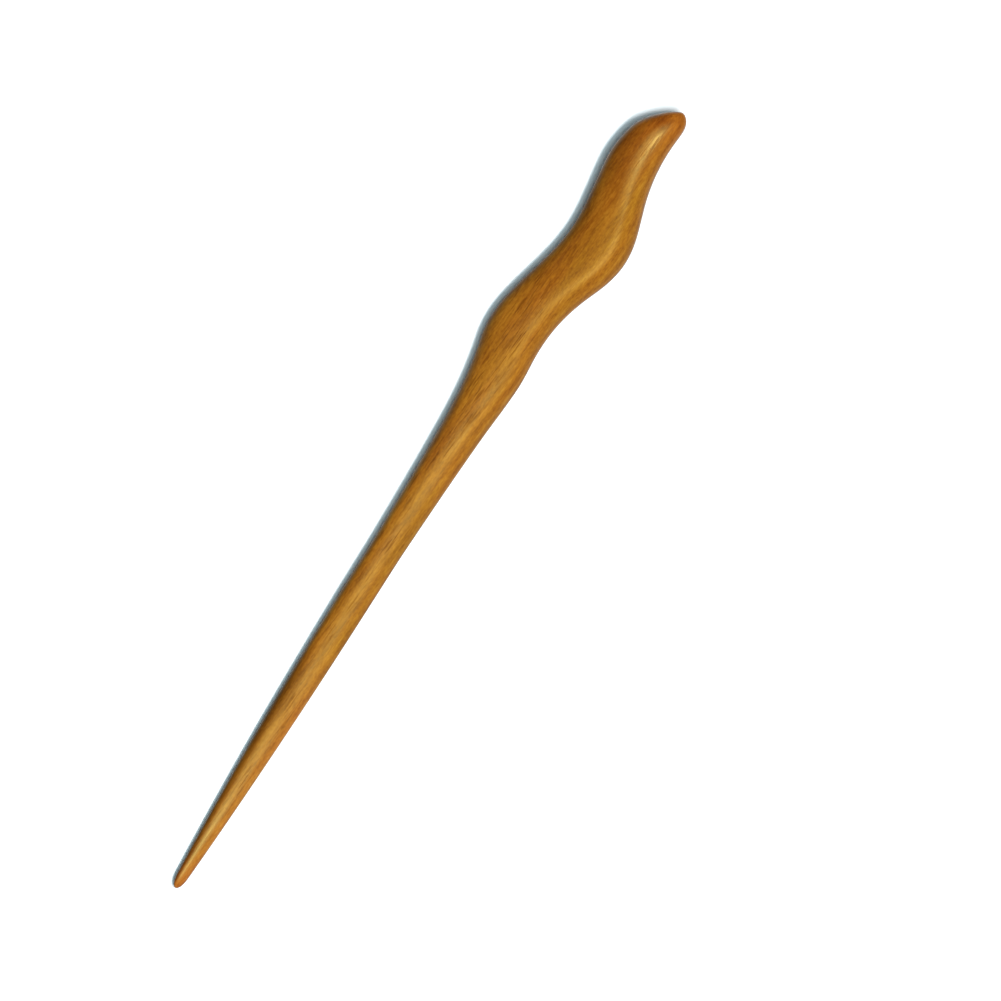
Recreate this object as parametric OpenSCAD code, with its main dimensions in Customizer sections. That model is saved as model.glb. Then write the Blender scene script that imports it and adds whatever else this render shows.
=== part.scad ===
// Hair stick, carved and polished from one piece of hardwood.
// A tapered shaft runs to a rounded point. Its head swells, swings to one side and
// back to the other like a shallow S, and ends in a nose that is cut on a slant.
// The stick is modelled as it lies by itself, on its point and the underside of its head.
// X runs from the point to the nose, Y across the stick and Z up, in millimetres.
// The origin is on the surface, under the middle of the stick.

/* [Whole stick] */
// Length from the tip of the point to the tip of the nose
stick_length = 180; // [150:1:240]
// Length of the head, from where the shaft starts to widen to the tip of the nose
head_length = 102; // [70:1:130]

/* [Shaft] */
// Width of the shaft where it meets the head, seen from above
shaft_width = 6.5; // [4:0.1:9]
// Thickness of the shaft where it meets the head
shaft_thick = 4.4; // [3:0.1:8]
// Width of the shaft just behind its point
point_width = 2.1; // [1.5:0.1:4]
// Thickness of the shaft just behind its point
point_thick = 2.2; // [1.2:0.1:3]
// Length of the rounding at the tip of the point
point_rounding = 2.3; // [0.8:0.1:5]
// How far the point lies to the right of the shaft's own line
point_offset = 1.15; // [0:0.05:6]
// How far the top ridge is to the left of the middle at the point, as a share of half the width
point_lean = 0.5; // [0:0.01:0.5]
// How far it is to the left where the shaft meets the head, as a share of half the width
shaft_lean = 0.3; // [0:0.01:0.5]

/* [Head] */
// Width of the head at its widest place
head_width = 12.8; // [8:0.1:18]
// Thickness of the head at its thickest place
head_thick = 7.3; // [6:0.1:14]
// How far the middle of the head swings to either side
head_swing = 2.2; // [0:0.1:6]
// Length of the slanted nose
nose_length = 8.6; // [4:0.1:14]
// Section of the head: 2 is an ellipse, and higher is nearer to a rounded rectangle
head_squareness = 2.2; // [2:0.1:4.5]
// How far the top ridge is to the right of the middle at the widest place of the head,
// as a share of half the width
head_lean = 0.1; // [0:0.01:0.5]

/* [Smoothness] */
// Number of sides round the stick
sides = 32; // [16:4:48]
// Distance between two sections of the head
head_step = 1.4; // [1:0.1:3]
// Distance between two sections of the shaft
shaft_step = 2.6; // [1.5:0.1:5]
// Turn between two sections of a rounded end, in degrees
end_step = 10; // [7.5, 10, 15]

/* [Hidden] */

shaft_length = stick_length - head_length;
swing_length = head_length - nose_length;

// The shaft's bend towards the point, as a power of the distance left to the head
SHAFT_BEND = 1.3;
// The shaft's width fills out quickly behind the point and is level where the head starts
SHAFT_FILL = 2.3;
// Its thickness grows slowly behind the point and faster towards the head, as a power too
SHAFT_GROWTH = 1.4;
// The ridge of the shaft leaves the point's lean quickly, as a power of the same distance
LEAN_FADE = 3;
// Squareness of a section that is an ellipse
ELLIPSE = 2;

// First column of both tables
ALONG = 0;
// Other columns of the head's table
SWING = 1;
WIDE = 2;
THICK = 3;
// Other columns of the nose's table
LEFT = 1;
RIGHT = 2;

// The head from the shaft to the nose, a row for each section:
// place along it, swing to the left as a share of head_swing, and the share of the way
// from the shaft's width to the head's, and from the shaft's thickness to the head's
HEAD = [
    [0.00,  0.00, 0.00, 0.00],
    [0.15,  0.05, 0.12, 0.11],
    [0.30,  0.11, 0.31, 0.29],
    [0.38,  0.19, 0.51, 0.42],
    [0.44,  0.39, 0.70, 0.54],
    [0.50,  0.79, 0.82, 0.68],
    [0.55,  0.80, 0.83, 0.74],
    [0.60,  0.47, 0.81, 0.77],
    [0.65, -0.09, 0.84, 0.82],
    [0.70, -0.75, 0.96, 0.89],
    [0.75, -1.14, 1.00, 0.97],
    [0.80, -1.08, 0.95, 1.00],
    [0.85, -0.63, 0.82, 0.96],
    [0.90, -0.12, 0.68, 0.86],
    [0.95,  0.22, 0.60, 0.71],
    [1.00,  0.18, 0.45, 0.52]
];

// The nose, a row for each section: how far its end has turned, in degrees, and how far
// its left and right edges are from the middle, as shares of half its width at the head.
// The left edge crosses the middle, so the end is cut on a slant towards the right.
NOSE = [
    [ 0,  1.00, 1.00],
    [15,  0.87, 1.01],
    [30,  0.58, 1.04],
    [45,  0.22, 1.05],
    [60, -0.10, 0.94],
    [75, -0.42, 0.76],
    [90, -0.58, 0.58]
];

// Slope of a table's column at one of its rows
function row_slope(table, column, row) =
    let (before = table[max(row - 1, 0)], after = table[min(row + 1, len(table) - 1)])
    (after[column] - before[column]) / (after[ALONG] - before[ALONG]);

// Value of a table's column at any place, on a smooth curve through its rows
function curve(table, column, place) =
    let (
        passed = len([for (row = table) if (row[ALONG] <= place) row]) - 1,
        row = min(max(passed, 0), len(table) - 2),
        gap = table[row + 1][ALONG] - table[row][ALONG],
        t = (place - table[row][ALONG]) / gap,
        start = table[row][column],
        end = table[row + 1][column],
        leave = gap * row_slope(table, column, row),
        arrive = gap * row_slope(table, column, row + 1)
    )
    start * (1 + 2 * t) * pow(1 - t, 2) + leave * t * pow(1 - t, 2)
    + end * (3 - 2 * t) * pow(t, 2) - arrive * (1 - t) * pow(t, 2);

function between(from, to, share) = from + (to - from) * share;

// A section's place along X, its left and right edges, its thickness, its squareness
// and how far its ridge is to the left, as a share of half its width
PLACE = 0;
LEFT_EDGE = 1;
RIGHT_EDGE = 2;
THICKNESS = 3;
SQUARENESS = 4;
LEAN = 5;
function middle_of(section) = (section[LEFT_EDGE] + section[RIGHT_EDGE]) / 2;
function half_of(section) = (section[LEFT_EDGE] - section[RIGHT_EDGE]) / 2;

function shaft_section(x) =
    let (
        along = x / shaft_length,
        rounding = x < point_rounding ? sqrt(1 - pow(1 - x / point_rounding, 2)) : 1,
        fill = 1 - pow(1 - along, SHAFT_FILL),
        half = rounding * between(point_width, shaft_width, fill) / 2,
        middle = -point_offset * pow(1 - along, SHAFT_BEND),
        thick = rounding * between(point_thick, shaft_thick, pow(along, SHAFT_GROWTH)),
        lean = between(shaft_lean, point_lean, pow(1 - along, LEAN_FADE))
    )
    [x, middle + half, middle - half, thick, ELLIPSE, lean];

function head_section(along) =
    let (
        wide = curve(HEAD, WIDE, along),
        half = between(shaft_width, head_width, wide) / 2,
        middle = head_swing * curve(HEAD, SWING, along),
        thick = between(shaft_thick, head_thick, curve(HEAD, THICK, along))
    )
    [shaft_length + swing_length * along, middle + half, middle - half, thick,
     between(ELLIPSE, head_squareness, wide), between(shaft_lean, -head_lean, wide)];

function nose_section(turn) =
    let (start = head_section(1))
    [start[PLACE] + nose_length * sin(turn),
     middle_of(start) + half_of(start) * curve(NOSE, LEFT, turn),
     middle_of(start) - half_of(start) * curve(NOSE, RIGHT, turn),
     start[THICKNESS] * cos(turn),
     start[SQUARENESS],
     start[LEAN]];

shaft_parts = ceil((shaft_length - point_rounding) / shaft_step);
head_parts = ceil(swing_length / head_step);
sections = concat(
    [for (turn = [end_step:end_step:90 - end_step]) shaft_section(point_rounding * (1 - cos(turn)))],
    [for (i = [0:shaft_parts - 1])
        shaft_section(between(point_rounding, shaft_length, i / shaft_parts))],
    [for (i = [0:head_parts - 1]) head_section(i / head_parts)],
    [for (turn = [0:end_step:90 - end_step]) nose_section(turn)]
);

// The straight line that the stick lies on touches the shaft and the head from below
lying_slope = max([
    for (near = sections) if (near[PLACE] < shaft_length)
        min([for (far = sections) if (far[PLACE] > shaft_length)
            (near[THICKNESS] - far[THICKNESS]) / 2 / (far[PLACE] - near[PLACE])])
]);
lying_tilt = atan(lying_slope);

// A point of the straight stick, turned about Y into the way it lies
function lay(p) = [
    p[0] * cos(lying_tilt) + p[2] * sin(lying_tilt),
    p[1],
    p[2] * cos(lying_tilt) - p[0] * sin(lying_tilt)
];

// The points round one section. The edges stay in place, and the top and the underside
// move sideways with the ridge, so the section is shaped like an egg that lies on its side.
function ring(section) = [
    for (i = [0:sides - 1])
        let (
            side = cos(360 * i / sides),
            rise = sin(360 * i / sides),
            power = section[SQUARENESS],
            reach = pow(pow(abs(side), power) + pow(abs(rise), power), -1 / power),
            across = reach * side,
            leaning = across + section[LEAN] * (1 - across * across)
        )
        lay([section[PLACE],
             middle_of(section) + half_of(section) * leaning,
             section[THICKNESS] / 2 * reach * rise])
];

tip_of_point = lay([0, -point_offset, 0]);
tip_of_nose = lay([stick_length, middle_of(nose_section(90)), 0]);
skin = concat([for (section = sections) each ring(section)], [tip_of_point, tip_of_nose]);
last_ring = (len(sections) - 1) * sides;

faces = concat(
    [for (i = [0:sides - 1]) [len(skin) - 2, i, (i + 1) % sides]],
    [for (s = [0:len(sections) - 2]) for (i = [0:sides - 1])
        let (a = s * sides + i, b = s * sides + (i + 1) % sides)
        each [[a, a + sides, b], [b, a + sides, b + sides]]],
    [for (i = [0:sides - 1]) [len(skin) - 1, last_ring + (i + 1) % sides, last_ring + i]]
);

function lowest(axis) = min([for (p = skin) p[axis]]);
function highest(axis) = max([for (p = skin) p[axis]]);

// The whole stick, one solid, moved over the origin and down onto the surface
module stick() {
    color("peru")
        translate([-(lowest(0) + highest(0)) / 2, -(lowest(1) + highest(1)) / 2, -lowest(2)])
            polyhedron(points = skin, faces = faces, convexity = 4);
}

stick();
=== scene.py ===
# %% [markdown]
# # A carved wooden hair stick
#
# The stick is one piece of golden-brown hardwood. Its shaft tapers to a rounded point, and its
# head swells and swings from side to side like a shallow S. A carver saws the outline from a
# board along the grain, rounds it with a knife and files, sands it by hand and waxes it.
#
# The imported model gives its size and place. This lesson lays a smooth skin over that model,
# gives the skin the grain, the pores and the polish of the wood, and lights it softly.

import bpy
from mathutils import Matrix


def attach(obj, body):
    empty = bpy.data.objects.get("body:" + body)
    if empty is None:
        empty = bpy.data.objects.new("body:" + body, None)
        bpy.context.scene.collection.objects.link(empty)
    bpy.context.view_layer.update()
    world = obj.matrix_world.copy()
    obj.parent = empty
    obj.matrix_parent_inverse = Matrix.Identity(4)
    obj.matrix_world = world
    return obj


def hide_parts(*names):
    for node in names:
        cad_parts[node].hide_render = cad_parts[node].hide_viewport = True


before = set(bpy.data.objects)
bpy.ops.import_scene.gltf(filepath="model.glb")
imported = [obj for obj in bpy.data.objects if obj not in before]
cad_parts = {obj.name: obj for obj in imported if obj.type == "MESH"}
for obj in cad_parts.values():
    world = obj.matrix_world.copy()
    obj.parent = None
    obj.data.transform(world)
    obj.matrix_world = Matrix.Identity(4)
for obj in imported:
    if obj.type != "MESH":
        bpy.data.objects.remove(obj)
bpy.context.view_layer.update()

# %% [markdown]
# ## The camera
#
# The stick was photographed from straight above. A camera that looks straight down has four
# things left to find: how far it is turned, how much it magnifies, and where it stands in X and Y.
# The two ends of the stick are two known places with two known pixels, which is just enough.
# With each place and each pixel written as one complex number, turning and magnifying together
# are one multiplication, so both come out of one division.

# %% The two ends of the stick
import bpy
import cmath
from mathutils import Vector

MM = 0.001
IMAGE_SIDE = 1001
POINT_PIXEL = complex(175.1, 888.0)
NOSE_PIXEL = complex(682.9, 112.7)

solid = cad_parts["stick"]
corners = [vertex.co for vertex in solid.data.vertices]
point_tip = min(corners, key=lambda place: place.x).copy()
nose_tip = max(corners, key=lambda place: place.x).copy()
print("Point at", point_tip[:], "and nose at", nose_tip[:])

# %% The camera over it
CAMERA_HEIGHT = 1.2


def seen_from_above(place, pixel):
    """A place, and its pixel's offset from the picture's middle times the place's depth."""
    middle = complex(IMAGE_SIDE, IMAGE_SIDE) / 2
    offset = (pixel - middle).conjugate()
    return complex(place.x, place.y), offset * (CAMERA_HEIGHT - place.z)


point_place, point_view = seen_from_above(point_tip, POINT_PIXEL)
nose_place, nose_view = seen_from_above(nose_tip, NOSE_PIXEL)
turn_and_zoom = (nose_view - point_view) / (nose_place - point_place)
stands_at = point_place - point_view / turn_and_zoom

camera_data = bpy.data.cameras.new("camera_above")
camera_data.sensor_width = 36
camera_data.lens = camera_data.sensor_width * abs(turn_and_zoom) / IMAGE_SIDE
camera = bpy.data.objects.new("camera_above", camera_data)
bpy.context.scene.collection.objects.link(camera)
bpy.context.scene.camera = camera

camera.location = (stands_at.real, stands_at.imag, CAMERA_HEIGHT)
camera.rotation_euler.z = -cmath.phase(turn_and_zoom)
print("Lens of", round(camera_data.lens, 1), "mm at", camera.location[:])

# %% [markdown]
# ## The skin of the wood
#
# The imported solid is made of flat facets, and a polish would show every one of them. A smooth
# skin can be carved with a Remesh and smoothed, but that eats the thin point. It can be lofted
# from circles, but then its map for the finish has to be cut and unrolled afterwards.
#
# Here a flat sheet with a ready-made map is rolled round the stick, like veneer round a dowel.
# The sheet's columns become sections along the stick, and its rows run round it. The first and
# last columns shrink to the tip of the point and the tip of the nose.

# %% Where the sections stand
SECTION_GAP = 2 * MM
END_LENGTH = 9 * MM
END_SECTIONS = 8


def section_places():
    """Places along the stick: evenly along its length, and ever closer towards both tips."""
    low, high = point_tip.x, nose_tip.x
    from_tip = [END_LENGTH * (i / END_SECTIONS) ** 2 for i in range(END_SECTIONS)]
    steps = round((high - low - 2 * END_LENGTH) / SECTION_GAP)
    step = (high - low - 2 * END_LENGTH) / steps
    middle = [low + END_LENGTH + i * step for i in range(steps + 1)]
    return [low + gap for gap in from_tip] + middle + [high - gap for gap in reversed(from_tip)]


places = section_places()
print(len(places), "sections along the stick")

# %% [markdown]
# Each section needs its middle. Two fingers that close on the wood from above and below find its
# height, and two from the sides find its place across. A ray is such a finger, and a tree of
# the solid's faces answers rays quickly.

# %% Feel for the middle of each section
from mathutils.bvhtree import BVHTree

AWAY = 50 * MM
ROUNDS = 3
faces = BVHTree.FromPolygons(corners, [face.vertices for face in solid.data.polygons])


def touch(start, direction):
    """Where a ray first meets the wood."""
    return faces.ray_cast(Vector(start), Vector(direction))[0]


def middle_of_section(x, y):
    """The middle of the wood at x, from a first guess of its place across."""
    for closer in range(ROUNDS):
        z = (touch((x, y, AWAY), (0, 0, -1)).z + touch((x, y, -AWAY), (0, 0, 1)).z) / 2
        y = (touch((x, AWAY, z), (0, -1, 0)).y + touch((x, -AWAY, z), (0, 1, 0)).y) / 2
    return Vector((x, y, z))


middles = [point_tip]
for x in places[1:-1]:
    middles.append(middle_of_section(x, middles[-1].y))
middles.append(nose_tip)
swing = [round(middle.y / MM, 2) for middle in middles]
print("The middle swings from", min(swing), "to", max(swing), "mm")

# %% [markdown]
# Now the sheet is rolled. A grid's corners lie between -0.5 and 0.5, so a corner's x says which
# section it belongs to, and its y says how far round the stick it goes. It starts straight
# below, which keeps the seam on the side that lies on the table. A subdivided ring
# shrinks a little, by a share that follows from its number of sides, so the sheet is laid
# just outside the wood by that share.

# %% Roll the sheet round the stick
import bmesh
from math import cos, pi, sin

SIDES = 32
ring_shrinks_to = (2 + cos(2 * pi / SIDES)) / 3


def onto_the_wood(column, row):
    """The place of a sheet corner: on the wood, as seen from the middle of its section."""
    if column in (0, len(places) - 1):
        return middles[column]
    turn = 2 * pi * row / SIDES - pi / 2
    outwards = Vector((0, cos(turn), sin(turn)))
    middle = middles[column]
    found = touch(middle + outwards * AWAY, -outwards)
    return middle + (found - middle) / ring_shrinks_to


sheet = bmesh.new()
sheet.loops.layers.uv.new("OFBake")
bmesh.ops.create_grid(
    sheet, x_segments=len(places) - 1, y_segments=SIDES, size=0.5, calc_uvs=True
)
for corner in sheet.verts:
    column = round((corner.co.x + 0.5) * (len(places) - 1))
    row = round((corner.co.y + 0.5) * SIDES)
    corner.co = onto_the_wood(column, row)
print("The sheet has", len(sheet.verts), "corners and", len(sheet.faces), "faces")

# %% Close the seam and the two tips
JOIN = 0.001 * MM
bmesh.ops.remove_doubles(sheet, verts=sheet.verts, dist=JOIN)
bmesh.ops.recalc_face_normals(sheet, faces=sheet.faces)
print("Rolled up it has", len(sheet.verts), "corners, and open edges:",
      sum(edge.is_boundary for edge in sheet.edges))

# %% [markdown]
# ## Marks of the hand
#
# Sandpaper over a knife cut leaves broad, shallow waves. Nobody feels them, but they make the
# shine along the head bend and flicker. A bump map would only fake them, so the sheet itself
# is pushed in and out by a slow noise, a few hundredths of a millimetre deep.

# %% Wave the surface a little
from mathutils import noise

WAVE_LENGTH = Vector((14, 5, 5)) * MM
WAVE_DEPTH = 0.04 * MM

for corner in sheet.verts:
    at = Vector(part / wave for part, wave in zip(corner.co, WAVE_LENGTH))
    corner.co -= corner.normal * WAVE_DEPTH * (1 + noise.noise(at)) / 2
print("Waves of up to", WAVE_DEPTH / MM, "mm, on", len(sheet.verts), "corners")

# %% [markdown]
# Its flanks will need another colour than its top: painted shade on the left flank and a painted
# sheen on the right one. Which way the skin faces is known here, so each corner keeps it as an
# attribute: 1 on its left side, -1 on its right side and 0 on its top and underside.

# %% Remember which way each corner faces
sheet.normal_update()
facing = sheet.verts.layers.float.new("facing_left")
for corner in sheet.verts:
    corner[facing] = corner.normal.y
print("The attribute runs from", round(min(corner[facing] for corner in sheet.verts), 2), "to",
      round(max(corner[facing] for corner in sheet.verts), 2))

# %% [markdown]
# The sheet becomes an object. A Subdivision Surface modifier rounds it off, so the sheet stays
# coarse enough to check by eye and the modifier does the smoothing.

# %% Make the skin an object
skin_mesh = bpy.data.meshes.new("carved_stick")
sheet.to_mesh(skin_mesh)
sheet.free()
skin_mesh.polygons.foreach_set("use_smooth", [True] * len(skin_mesh.polygons))
skin = bpy.data.objects.new("carved_stick", skin_mesh)
bpy.context.scene.collection.objects.link(skin)

rounding = skin.modifiers.new("rounding", "SUBSURF")
rounding.levels = rounding.render_levels = 2

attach(skin, "root")
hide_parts("stick")
print("The skin has", len(skin_mesh.polygons), "faces before it is rounded")

# %% [markdown]
# ## The wood
#
# The stick is cut from a dense golden-brown hardwood. Its heart is never one colour: orange and
# olive zones lie along the grain, growth layers and fine streaks run through them, and short
# dark dashes are pores that the knife has opened lengthwise. A picture of a board could be
# wrapped round the stick, but it would stretch at the point and would not look right on the nose,
# where the grain is cut across. One brown with a little noise would look like plastic.
#
# So the wood is grown as a solid block: every layer is a noise in the object's own coordinates,
# drawn out along the grain. The carved skin then cuts through the block, and the streaks on its
# top, its sides and its nose belong together as they do in real wood.

# %% A block of wood
from math import degrees, radians

wood = bpy.data.materials.new("waxed_wood")
wood.use_nodes = True
nodes = wood.node_tree.nodes
links = wood.node_tree.links
shader = nodes["Principled BSDF"]
place = nodes.new("ShaderNodeTexCoord").outputs["Object"]

GRAIN_TURN = radians(-3)
print("The grain lies", round(degrees(abs(GRAIN_TURN))), "degrees off the stick's own line")


def along_the_grain(lengths, at):
    """The block's coordinates from a place, counted in steps of the given lengths."""
    steps = nodes.new("ShaderNodeMapping")
    steps.vector_type = "TEXTURE"
    steps.inputs["Location"].default_value = at
    steps.inputs["Rotation"].default_value.z = GRAIN_TURN
    steps.inputs["Scale"].default_value = lengths
    links.new(place, steps.inputs["Vector"])
    return steps.outputs["Vector"]


def grown(name, lengths, shift, detail=2):
    """A noise whose spots are as long, wide and high as the given lengths in mm."""
    spots = nodes.new("ShaderNodeTexNoise")
    spots.label = name
    spots.inputs["Scale"].default_value = 1
    spots.inputs["Detail"].default_value = detail
    at = Vector((shift, shift, shift)) * MM
    links.new(along_the_grain(Vector(lengths) * MM, at), spots.inputs["Vector"])
    return spots.outputs["Fac"]


# %% [markdown]
# A tree adds one layer a year, so a board's grain is a set of nested tubes round the tree's
# heart. The rings of a Wave texture are such tubes, and with a Scale of 0.314 it has one ring in
# each step, so steps of 1.5 mm make layers of 1.5 mm. The tree's heart is put to one side of the
# stick and well below it, so that its swelling head cuts through several layers at a slant,
# and their edges show on it as long loops.

# %% Growth layers
HEART_PLACE = Vector((0, -14, -38)) * MM
LAYER_STRETCH = Vector((30, 1.5, 1.5)) * MM
ONE_LAYER_A_STEP = 0.314
LAYER_WOBBLE = 5

growth = nodes.new("ShaderNodeTexWave")
growth.label = "layers"
growth.wave_type = "RINGS"
growth.rings_direction = "X"
growth.inputs["Scale"].default_value = ONE_LAYER_A_STEP
growth.inputs["Distortion"].default_value = LAYER_WOBBLE
growth.inputs["Detail"].default_value = 2
growth.inputs["Detail Scale"].default_value = 0.5
links.new(along_the_grain(LAYER_STRETCH, HEART_PLACE), growth.inputs["Vector"])
layers = growth.outputs["Fac"]
print("The tree's heart is", round(HEART_PLACE.length / MM), "mm away from the stick")

# %% [markdown]
# ### Marks of every size
#
# Close up, the wood has marks of very different sizes: broad zones, patches and streaks that
# follow the growth, flecks where bundles of fibres cross, and the fibres themselves. One noise
# with much Detail would stretch all of them alike. With a noise for each, every mark has its
# own length and width in millimetres, and a weight says how much of it the eye sees.

# %% Zones, streaks and fibres
zones = grown("zones", (20, 3, 3), shift=3)
patches = grown("patches", (4, 0.9, 0.9), shift=11)
streaks = grown("streaks", (10, 0.6, 0.6), shift=19)
flecks = grown("flecks", (0.75, 0.3, 0.3), shift=23, detail=1)
fibres = grown("fibres", (3, 0.2, 0.2), shift=31, detail=1)


def counted(operation, first, second):
    """A sum or product of two values, each a socket or a plain number."""
    sum_node = nodes.new("ShaderNodeMath")
    sum_node.operation = operation
    for socket, value in zip(sum_node.inputs, (first, second)):
        if isinstance(value, bpy.types.NodeSocket):
            links.new(value, socket)
        else:
            socket.default_value = value
    return sum_node.outputs["Value"]


LAYERS_WEIGHT = 0.12
MARKS = ((patches, 0.25), (streaks, 0.2), (flecks, 0.34), (fibres, 0.22))
tone = counted("MULTIPLY", layers, LAYERS_WEIGHT)
for mark, weight in MARKS:
    tone = counted("ADD", tone, counted("MULTIPLY", mark, weight))
print("Layers of grain:", [node.label for node in nodes if node.label])

# %% [markdown]
# ### Browns and golds
#
# The sum of all marks is one grey value, and a colour ramp turns it into browns and golds. Its
# stops stand close together, because a sum of many noises hardly leaves the middle of its range.
#
# A stain darkens wood without hiding its grain. Mixing a colour in would cover the grain, so
# the zones are dyed by multiplying: orange takes away green and blue, and olive takes away red.

# %% Colours of the wood
TONES = (
    (0.40, (0.168, 0.054, 0.006)),
    (0.50, (0.217, 0.075, 0.007)),
    (0.60, (0.258, 0.095, 0.008)),
    (0.73, (0.315, 0.128, 0.012)),
)
tones = nodes.new("ShaderNodeValToRGB")
links.new(tone, tones.inputs["Fac"])
while len(tones.color_ramp.elements) < len(TONES):
    tones.color_ramp.elements.new(1)
for stop, (position, colour) in zip(tones.color_ramp.elements, TONES):
    stop.position = position
    stop.color = (*colour, 1)


def stretched(value, low, high, to_low=0, to_high=1):
    """The value with low to high stretched to the new range, and nothing beyond it."""
    stretch = nodes.new("ShaderNodeMapRange")
    stretch.inputs["From Min"].default_value = low
    stretch.inputs["From Max"].default_value = high
    stretch.inputs["To Min"].default_value = to_low
    stretch.inputs["To Max"].default_value = to_high
    links.new(value, stretch.inputs["Value"])
    return stretch.outputs["Result"]


def dyed(colour, dye, share):
    """The colour multiplied by a dye, as far as the share says."""
    mix = nodes.new("ShaderNodeMix")
    mix.data_type = "RGBA"
    mix.blend_type = "MULTIPLY"
    factor, first, second = [socket for socket in mix.inputs if socket.enabled]
    links.new(share, factor)
    links.new(colour, first)
    second.default_value = (*dye, 1)
    return [socket for socket in mix.outputs if socket.enabled][0]


ORANGE = (1.02, 0.95, 0.9)
OLIVE = (0.97, 1.01, 0.96)
colour = dyed(tones.outputs["Color"], ORANGE, stretched(zones, 0.5, 0.68))
colour = dyed(colour, OLIVE, stretched(zones, 0.5, 0.34))
print("Stops of the colour ramp:", [round(stop.position, 2) for stop in tones.color_ramp.elements])

# %% [markdown]
# ### The side of the heart
#
# One side of the board was nearer to the heart of the tree. It is more orange and blotched where
# oil has gathered. At the head and the point that side, which faces away from the light, is also
# browner: partly its wood and partly painted shade. On the other side the shaft near the point is
# a lighter, paler gold, partly a painted highlight. The wood is cut across at its nose and its
# point, so it drinks more wax there and turns orange.
#
# Such places could be painted by hand on the map. Stretching the block's own X and Y into shares
# from 0 to 1 does the same with a few numbers, and a noise added to Y first keeps the border
# between the two sides from running dead straight.

# %% Colours of its sides and ends
axes = nodes.new("ShaderNodeSeparateXYZ")
links.new(place, axes.inputs["Vector"])
along = axes.outputs["X"]
BORDER_WANDERS = 3 * MM
BORDER_WIDTH = 2.5 * MM
across = counted("ADD", axes.outputs["Y"], counted("MULTIPLY", zones, BORDER_WANDERS))
heart_side = stretched(across, 0, BORDER_WIDTH)

HEART_ORANGE = (0.97, 0.88, 0.82)
colour = dyed(colour, HEART_ORANGE, heart_side)

# Partly painted shade: the half away from the light is made browner at the head and the point.
HEART_BROWN_AND_SHADE = (0.79, 0.76, 0.72)
on_the_head = stretched(along, 56 * MM, 70 * MM)
on_the_point = stretched(along, -34 * MM, -48 * MM)
both_ends = counted("ADD", on_the_head, on_the_point)
colour = dyed(colour, HEART_BROWN_AND_SHADE, counted("MULTIPLY", heart_side, both_ends))

# Partly a painted highlight: the lit side of the point is made lighter and paler, as its shine
# looks.
POINT_GOLD_AND_SHEEN = (1.23, 1.25, 1.9)
away_from_the_heart = stretched(heart_side, 0, 1, 1, 0.1)
colour = dyed(colour, POINT_GOLD_AND_SHEEN, counted("MULTIPLY", on_the_point, away_from_the_heart))

BLOTCH_BROWN = (0.84, 0.79, 0.72)
blotches = stretched(grown("blotches", (3, 0.7, 0.7), shift=53), 0.48, 0.64)
blotches = counted("MULTIPLY", blotches, stretched(heart_side, 0, 1, 0.2, 1))
colour = dyed(colour, BLOTCH_BROWN, blotches)

END_ORANGE = (1.03, 0.83, 0.9)
nose_end = stretched(along, 72 * MM, 86 * MM)
point_end = stretched(along, -82 * MM, -89 * MM)
colour = dyed(colour, END_ORANGE, counted("ADD", nose_end, point_end))
print("Dyes for its sides and ends:", HEART_ORANGE, HEART_BROWN_AND_SHADE, POINT_GOLD_AND_SHEEN, END_ORANGE)

# %% [markdown]
# The left flank faces away from the light, and where it turns down it is darkened with painted
# shade. Near the point the painted shade reaches almost up to the ridge. The right flank gets a
# painted sheen: it is made a little paler and bluer, a painted reflection of the white ground. All
# these borders follow the way the skin turns and not the block, so the dyes read the attribute
# that the sheet has kept.

# %% Colours of its flanks
facing_left = nodes.new("ShaderNodeAttribute")
facing_left.attribute_name = "facing_left"

# Painted shade: the left flank, which faces away from the light, is darkened.
FLANK_SHADE = (0.56, 0.67, 0.73)
left_flank = stretched(facing_left.outputs["Fac"], 0.4, 0.8)
left_flank = counted("MULTIPLY", left_flank, stretched(along, 45 * MM, 0, 0.8, 1))
colour = dyed(colour, FLANK_SHADE, left_flank)

# Painted shade: near the point the left edge, away from the light, is darkened further.
EDGE_SHADE = (0.6, 0.59, 0.56)
left_edge = stretched(facing_left.outputs["Fac"], 0.05, 0.3)
near_the_point = stretched(along, -20 * MM, -48 * MM, 0, 0.85)
colour = dyed(colour, EDGE_SHADE, counted("MULTIPLY", left_edge, near_the_point))

# Painted reflection: the right flank is made paler and bluer, a painted sheen of the white ground.
FLANK_SHEEN = (0.88, 0.92, 1.55)
right_flank = stretched(facing_left.outputs["Fac"], -0.4, -0.8)
colour = dyed(colour, FLANK_SHEEN, right_flank)
print("Dyes for its flanks:", FLANK_SHADE, EDGE_SHADE, FLANK_SHEEN)

# %% [markdown]
# ### Opened pores
#
# Pores are the tree's water pipes. A cut along the grain opens some of them into dark dashes,
# about 5 mm long and as thin as a hair, and they come in flocks. A noise is cut off just below
# its peaks, so only short, thin dashes are left of it, and a second, broad noise chooses where
# the flocks are. The darker side has more of them.

# %% Pores
dashes = stretched(grown("pores", (5, 0.32, 0.32), shift=43, detail=0), 0.56, 0.7)
flocks = stretched(grown("flocks of pores", (12, 3, 3), shift=5, detail=1), 0.4, 0.6)
pores = counted("MULTIPLY", dashes, flocks)
pores = counted("MULTIPLY", pores, stretched(heart_side, 0, 1, 0.4, 1))

PORE_BROWN = (0.72, 0.66, 0.56)
colour = dyed(colour, PORE_BROWN, pores)
links.new(colour, shader.inputs["Base Color"])
print("Layers of the wood:", len([node for node in nodes if node.label]))

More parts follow.
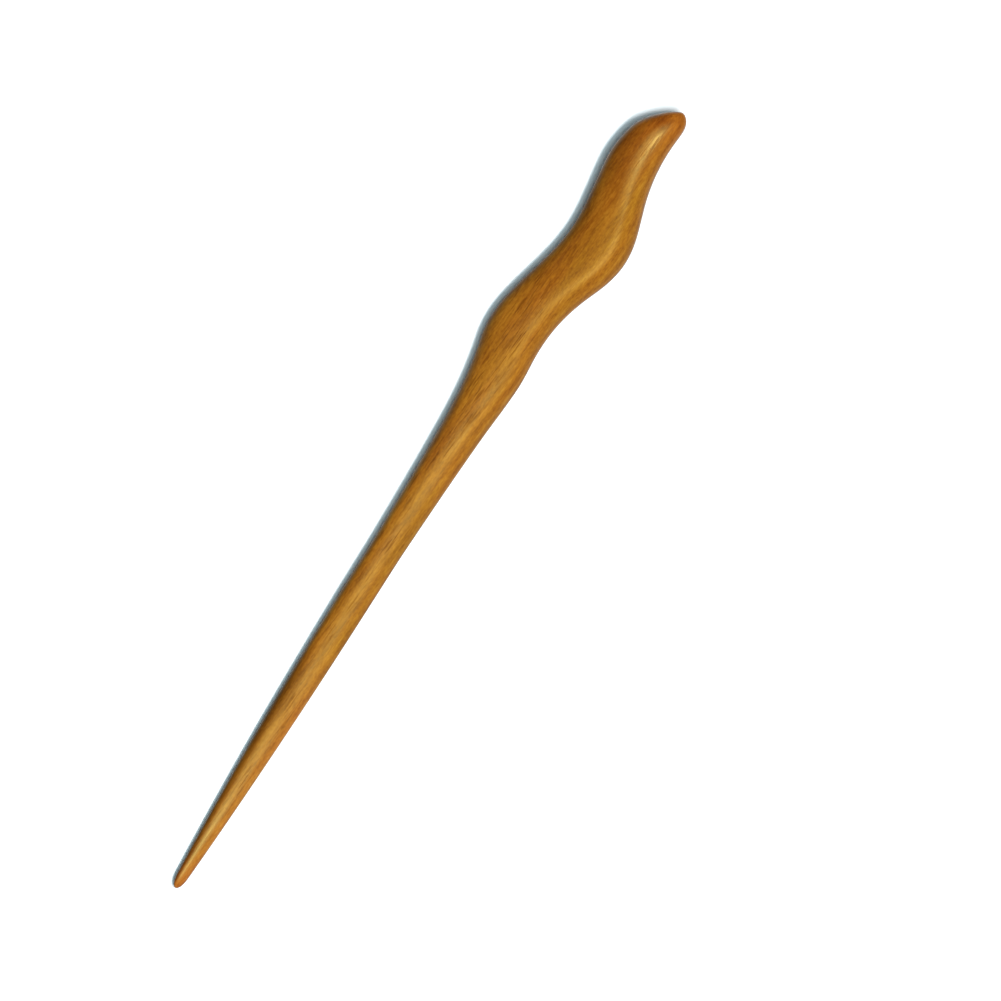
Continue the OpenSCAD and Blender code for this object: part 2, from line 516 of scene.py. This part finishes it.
# %% [markdown]
# ### Polish
#
# The stick is waxed, and hair and fingers have rubbed its head and its point smoother than its
# middle. A clear Coat would lay a film like varnish on it. Wax sinks in, so the wood's own
# shine is used, a weak one. It is tinted golden, because light comes back through the wax and
# the top fibres.
#
# Where the wood is smooth the shine is narrow, and where it is rougher the shine is a broad glow.
# That is roughness. How bright the shine is can be set apart from it: brightest at both tips,
# which are handled most. Pores and streaks keep the roughness a little uneven.

# %% Wax
WAX_TINT = (1, 0.82, 0.24, 1)
shader.inputs["Specular Tint"].default_value = WAX_TINT

ROUGH_IN_THE_MIDDLE = 0.41
ROUGH_WHERE_RUBBED = 0.23
ROUGHER_STREAKS = 0.06
ROUGHER_PORES = 0.15
rubbed_head = stretched(along, 34 * MM, 54 * MM)
rubbed_point = stretched(along, -50 * MM, -75 * MM, 0, 0.6)
rubbed = counted("ADD", rubbed_head, rubbed_point)
roughness = stretched(rubbed, 0, 1, ROUGH_IN_THE_MIDDLE, ROUGH_WHERE_RUBBED)
roughness = counted("ADD", roughness, stretched(streaks, 0.35, 0.65, 0, ROUGHER_STREAKS))
roughness = counted("ADD", roughness, counted("MULTIPLY", pores, ROUGHER_PORES))
links.new(roughness, shader.inputs["Roughness"])

SHAFT_SHINE = 0.2
HEAD_SHINE = 0.055
MORE_AT_THE_NOSE = 0.19
MORE_AT_THE_POINT = 0.13
shine = stretched(along, 15 * MM, 50 * MM, SHAFT_SHINE, HEAD_SHINE)
shine = counted("ADD", shine, stretched(along, 66 * MM, 84 * MM, 0, MORE_AT_THE_NOSE))
shine = counted("ADD", shine, counted("MULTIPLY", rubbed_point, MORE_AT_THE_POINT))
links.new(shine, shader.inputs["Specular IOR Level"])
print("The shine falls from", SHAFT_SHINE, "on the shaft to", HEAD_SHINE, "on the head")

# %% [markdown]
# ### Relief of the grain
#
# Sandpaper takes more of the soft wood than of the hard fibres, and pores stay open as tiny
# grooves. Real relief this fine would need millions of faces. A Bump node only tilts the light
# on the skin, by a height given in real units: a fiftieth of a millimetre.

# %% Bump
BUMP_HEIGHT = 0.02 * MM
FIBRES_SHARE = 0.3
relief = counted("SUBTRACT", counted("MULTIPLY", fibres, FIBRES_SHARE), pores)
bump = nodes.new("ShaderNodeBump")
bump.inputs["Strength"].default_value = 1
bump.inputs["Distance"].default_value = BUMP_HEIGHT
links.new(relief, bump.inputs["Height"])
links.new(bump.outputs["Normal"], shader.inputs["Normal"])
skin_mesh.materials.append(wood)
print("The wood has", len(nodes), "nodes and", len(links), "links")

# %% [markdown]
# ## The floor
#
# The stick lies on a plain white ground. A curved backdrop hides the horizon in a view from the
# side, but the camera looks straight down, so a flat sheet is enough. It is not pure white:
# it is lit until it looks white, and light that it throws back up still lights the wood's flanks.

# %% Lay the floor
FLOOR_REACH = 4
FLOOR_WHITE = 0.76
FLOOR_ROUGHNESS = 0.9
FLOOR_SHINE = 0.1

floor_mesh = bpy.data.meshes.new("floor")
floor_form = bmesh.new()
bmesh.ops.create_grid(floor_form, x_segments=1, y_segments=1, size=FLOOR_REACH)
floor_form.to_mesh(floor_mesh)
floor_form.free()
floor = bpy.data.objects.new("floor", floor_mesh)
bpy.context.scene.collection.objects.link(floor)

paper = bpy.data.materials.new("white_paper")
paper.use_nodes = True
paper_shader = paper.node_tree.nodes["Principled BSDF"]
paper_shader.inputs["Base Color"].default_value = (FLOOR_WHITE, FLOOR_WHITE, FLOOR_WHITE, 1)
paper_shader.inputs["Roughness"].default_value = FLOOR_ROUGHNESS
paper_shader.inputs["Specular IOR Level"].default_value = FLOOR_SHINE
floor_mesh.materials.append(paper)
print("The floor is", [round(side, 2) for side in floor.dimensions], "m")

# %% [markdown]
# ## The light
#
# The shadow says where the light is. It lies on one side only, so the main light stands on
# the other side. It is about a third as wide as the stick is high, so the light stands high. Its
# edge is soft, which takes a large softbox and not a bare lamp. The softbox is long in the
# direction of the stick, so the shine runs along it without a break.
#
# Near the wood the shadow is dark and further out it is lighter and bluish. That is a second,
# broad and cooler light overhead, which the wood itself hides from the ground close beside it.
# The rest of the room adds almost nothing.

# %% Two lights
LIGHT_AWAY = 2.0
LIGHT_TILT = radians(19.5)

key_data = bpy.data.lights.new("softbox", "AREA")
key_data.shape = "RECTANGLE"
key_data.size = 0.8
key_data.size_y = 0.26
key_data.energy = 52
key = bpy.data.objects.new("softbox", key_data)
key.location = (0, -LIGHT_AWAY * sin(LIGHT_TILT), LIGHT_AWAY * cos(LIGHT_TILT))
key.rotation_euler = (LIGHT_TILT, 0, 0)
key.visible_camera = False
bpy.context.scene.collection.objects.link(key)

fill_data = bpy.data.lights.new("ceiling_panel", "AREA")
fill_data.shape = "RECTANGLE"
fill_data.size = 2.2
fill_data.size_y = 0.8
fill_data.energy = 38
fill_data.color = (0.68, 0.92, 1)
fill = bpy.data.objects.new("ceiling_panel", fill_data)
fill.location = (0, -0.36, 2.2)
fill.visible_camera = False
bpy.context.scene.collection.objects.link(fill)
print("The softbox stands at", [round(side, 2) for side in key.location])

# %% The room
world = bpy.data.worlds.new("room")
world.use_nodes = True
background = world.node_tree.nodes["Background"]
background.inputs["Color"].default_value = (0.9, 0.95, 1, 1)
background.inputs["Strength"].default_value = 0.06
bpy.context.scene.world = world
bpy.context.scene.view_settings.view_transform = "Standard"
print("The colours are shown as they are:", bpy.context.scene.view_settings.view_transform)
